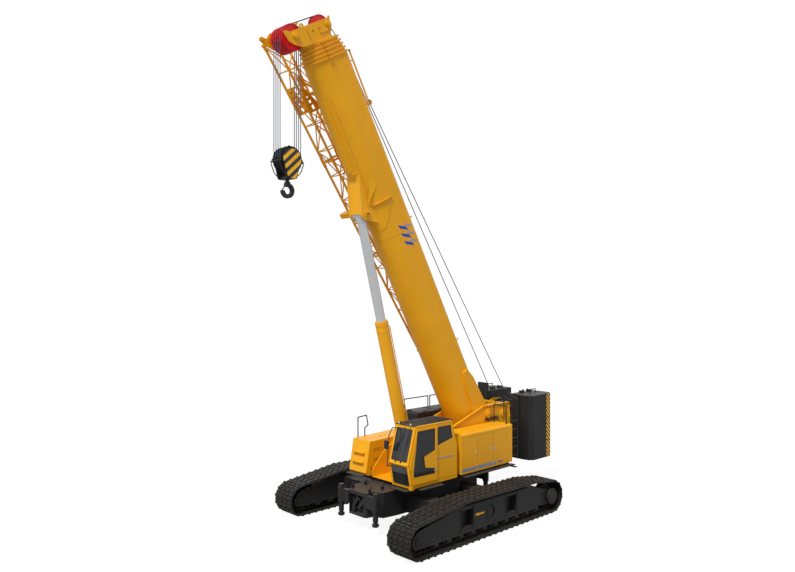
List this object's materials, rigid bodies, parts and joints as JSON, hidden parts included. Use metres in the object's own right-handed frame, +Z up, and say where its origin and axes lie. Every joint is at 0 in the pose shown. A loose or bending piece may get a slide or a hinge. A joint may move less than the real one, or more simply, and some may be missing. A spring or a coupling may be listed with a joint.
{
  "type": "telescopic crawler crane",
  "caption": "Self-propelled crane on two spreading crawler tracks with a telescoping luffing boom, a folded lattice jib, a hook block, a cab and split counterweights.",
  "frame": {"origin": "on the ground under the slewing axis, midway between the tracks", "axes": "+X forwards, the way the boom points; +Y to the machine's left; +Z up"},
  "size_m": [11.2248, 6.27, 15.2612],
  "materials": {
    "yellow_paint": "gloss",
    "dark_paint": "satin",
    "dark_steel": "satin",
    "track_steel": "worn",
    "rod_chrome": "polished",
    "rope_wire": "greased",
    "red_sheave": "satin",
    "seat_cloth": "woven",
    "tinted_glass": "tinted"
  },
  "bodies": {
    "undercarriage": {"carbody": "dark_paint", "slew_ring": "dark_steel", "jack_tubes": "dark_paint"},
    "track_left": {"track_frame_left": "dark_paint", "track_chain_left": "track_steel", "track_rollers_left": "track_steel", "idler_left": "track_steel", "sprocket_left": "track_steel", "final_drive_left": "dark_paint"},
    "track_right": {"track_frame_right": "dark_paint", "track_chain_right": "track_steel", "track_rollers_right": "track_steel", "idler_right": "track_steel", "sprocket_right": "track_steel", "final_drive_right": "dark_paint"},
    "jack_front_left": {"jack_leg_front_left": "rod_chrome"},
    "jack_front_right": {"jack_leg_front_right": "rod_chrome"},
    "jack_rear_left": {"jack_leg_rear_left": "rod_chrome"},
    "jack_rear_right": {"jack_leg_rear_right": "rod_chrome"},
    "superstructure": {"turntable": "yellow_paint", "deck": "dark_paint", "winch_frame": "yellow_paint", "counterweight": "dark_paint", "counterweight_hangers": "dark_paint", "cab_shell": "yellow_paint", "cab_glass": "tinted_glass", "cab_guard": "dark_paint", "seat": "seat_cloth", "left_hood": "yellow_paint", "engine": "dark_steel", "right_hood": "yellow_paint", "tank": "dark_paint", "walkways": "dark_paint", "handrails": "dark_paint"},
    "winch_main": {"winch_main": "dark_steel"},
    "winch_aux": {"winch_aux": "dark_steel"},
    "cab_door": {"cab_door": "yellow_paint", "door_glass": "tinted_glass"},
    "hood_door_1": {"hood_door_1": "yellow_paint"},
    "hood_door_2": {"hood_door_2": "yellow_paint"},
    "hood_door_3": {"hood_door_3": "yellow_paint"},
    "boom": {"boom_base": "yellow_paint", "boom_foot_pin": "dark_steel", "cylinder_pin": "dark_steel", "jib": "yellow_paint", "jib_brackets": "yellow_paint"},
    "boom_section_2": {"boom_section_2": "yellow_paint"},
    "boom_section_3": {"boom_section_3": "yellow_paint"},
    "boom_section_4": {"boom_section_4": "yellow_paint"},
    "boom_section_5": {"boom_section_5": "yellow_paint"},
    "boom_head": {"boom_head": "yellow_paint"},
    "head_sheaves": {"head_sheaves": "red_sheave"},
    "top_sheaves": {"top_sheaves": "red_sheave"},
    "hook_block": {"hook_block": "yellow_paint", "hoist_falls": "rope_wire"},
    "block_sheaves": {"block_sheaves": "red_sheave"},
    "hook": {"hook": "dark_steel"},
    "luff_rod": {"luff_rod": "rod_chrome"},
    "luff_barrel": {"luff_barrel": "yellow_paint"}
  },
  "joints": [
    {"name": "slew", "type": "hinge", "parent": "undercarriage", "child": "superstructure", "pos_m": [0, 0, 1.245], "axis": [0, 0, 1], "continuous": true},
    {"name": "track_spread_left", "type": "slide", "parent": "undercarriage", "child": "track_left", "axis": [0, -1, 0], "range_m": [0, 0.75]},
    {"name": "track_spread_right", "type": "slide", "parent": "undercarriage", "child": "track_right", "axis": [0, 1, 0], "range_m": [0, 0.75]},
    {"name": "jack_down_front_left", "type": "slide", "parent": "undercarriage", "child": "jack_front_left", "axis": [0, 0, -1], "range_m": [0, 0.6]},
    {"name": "jack_down_front_right", "type": "slide", "parent": "undercarriage", "child": "jack_front_right", "axis": [0, 0, -1], "range_m": [0, 0.6]},
    {"name": "jack_down_rear_left", "type": "slide", "parent": "undercarriage", "child": "jack_rear_left", "axis": [0, 0, -1], "range_m": [0, 0.6]},
    {"name": "jack_down_rear_right", "type": "slide", "parent": "undercarriage", "child": "jack_rear_right", "axis": [0, 0, -1], "range_m": [0, 0.6]},
    {"name": "boom_luff", "type": "hinge", "parent": "superstructure", "child": "boom", "pos_m": [-2.88, 0, 2.99], "axis": [0, 1, 0], "range_deg": [-19, 60]},
    {"name": "telescope_2", "type": "slide", "parent": "boom", "child": "boom_section_2", "axis": [0.4848, 0, 0.8746], "range_m": [0, 9.4]},
    {"name": "telescope_3", "type": "slide", "parent": "boom_section_2", "child": "boom_section_3", "axis": [0.4848, 0, 0.8746], "range_m": [0, 9.4]},
    {"name": "telescope_4", "type": "slide", "parent": "boom_section_3", "child": "boom_section_4", "axis": [0.4848, 0, 0.8746], "range_m": [0, 9.4]},
    {"name": "telescope_5", "type": "slide", "parent": "boom_section_4", "child": "boom_section_5", "axis": [0.4848, 0, 0.8746], "range_m": [0, 9.4]},
    {"name": "telescope_6", "type": "slide", "parent": "boom_section_5", "child": "boom_head", "axis": [0.4848, 0, 0.8746], "range_m": [0, 9.4]},
    {"name": "head_sheave_turn", "type": "hinge", "parent": "boom_head", "child": "head_sheaves", "pos_m": [5.13884, 0, 14.3005], "axis": [0, 1, 0], "continuous": true},
    {"name": "top_sheave_turn", "type": "hinge", "parent": "boom_head", "child": "top_sheaves", "pos_m": [4.02808, 0, 14.91621], "axis": [0, 1, 0], "continuous": true},
    {"name": "hook_hang", "type": "hinge", "parent": "boom_head", "child": "hook_block", "pos_m": [5.13884, 0, 14.3005], "axis": [0, 1, 0], "range_deg": [-60, 19]},
    {"name": "block_sheave_turn", "type": "hinge", "parent": "hook_block", "child": "block_sheaves", "pos_m": [5.13884, 0, 10.93], "axis": [0, 1, 0], "continuous": true},
    {"name": "hook_swivel", "type": "hinge", "parent": "hook_block", "child": "hook", "pos_m": [5.13884, 0, 10.43], "axis": [0, 0, 1], "continuous": true},
    {"name": "cylinder_eye_turn", "type": "hinge", "parent": "boom", "child": "luff_rod", "pos_m": [2.44995, 0, 9.594], "axis": [0, 1, 0], "range_deg": [-4.6, 14.5]},
    {"name": "cylinder_stroke", "type": "slide", "parent": "luff_rod", "child": "luff_barrel", "axis": [-0.2522, 0, -0.9677], "range_m": [-3.1, 0.99]},
    {"name": "winch_main_turn", "type": "hinge", "parent": "superstructure", "child": "winch_main", "pos_m": [-3.7, 0, 2.88], "axis": [0, 1, 0], "continuous": true},
    {"name": "winch_aux_turn", "type": "hinge", "parent": "superstructure", "child": "winch_aux", "pos_m": [-4.69, 0, 2.9], "axis": [0, 1, 0], "continuous": true},
    {"name": "cab_door_slide", "type": "slide", "parent": "superstructure", "child": "cab_door", "axis": [-1, 0, 0], "range_m": [0, 0.72]},
    {"name": "hood_door_1_turn", "type": "hinge", "parent": "superstructure", "child": "hood_door_1", "pos_m": [-0.612, 1.4583, 2], "axis": [0, 0, -1], "range_deg": [0, 95]},
    {"name": "hood_door_2_turn", "type": "hinge", "parent": "superstructure", "child": "hood_door_2", "pos_m": [-1.348, 1.4583, 2], "axis": [0, 0, -1], "range_deg": [0, 95]},
    {"name": "hood_door_3_turn", "type": "hinge", "parent": "superstructure", "child": "hood_door_3", "pos_m": [-2.888, 1.4583, 2], "axis": [0, 0, 1], "range_deg": [0, 95]}
  ],
  "couplings": [
    {"joint": "jack_down_front_right", "follows": "jack_down_front_left", "ratio": 1},
    {"joint": "jack_down_rear_left", "follows": "jack_down_front_left", "ratio": 1},
    {"joint": "jack_down_rear_right", "follows": "jack_down_front_left", "ratio": 1},
    {"joint": "telescope_3", "follows": "telescope_2", "ratio": 1},
    {"joint": "telescope_4", "follows": "telescope_2", "ratio": 1},
    {"joint": "telescope_5", "follows": "telescope_2", "ratio": 1},
    {"joint": "telescope_6", "follows": "telescope_2", "ratio": 1},
    {"joint": "hook_hang", "follows": "boom_luff", "ratio": -1},
    {"joint": "cylinder_eye_turn", "follows": "boom_luff", "ratio": 0.24},
    {"joint": "cylinder_stroke", "follows": "boom_luff", "m_per_rad": -2.95}
  ]
}
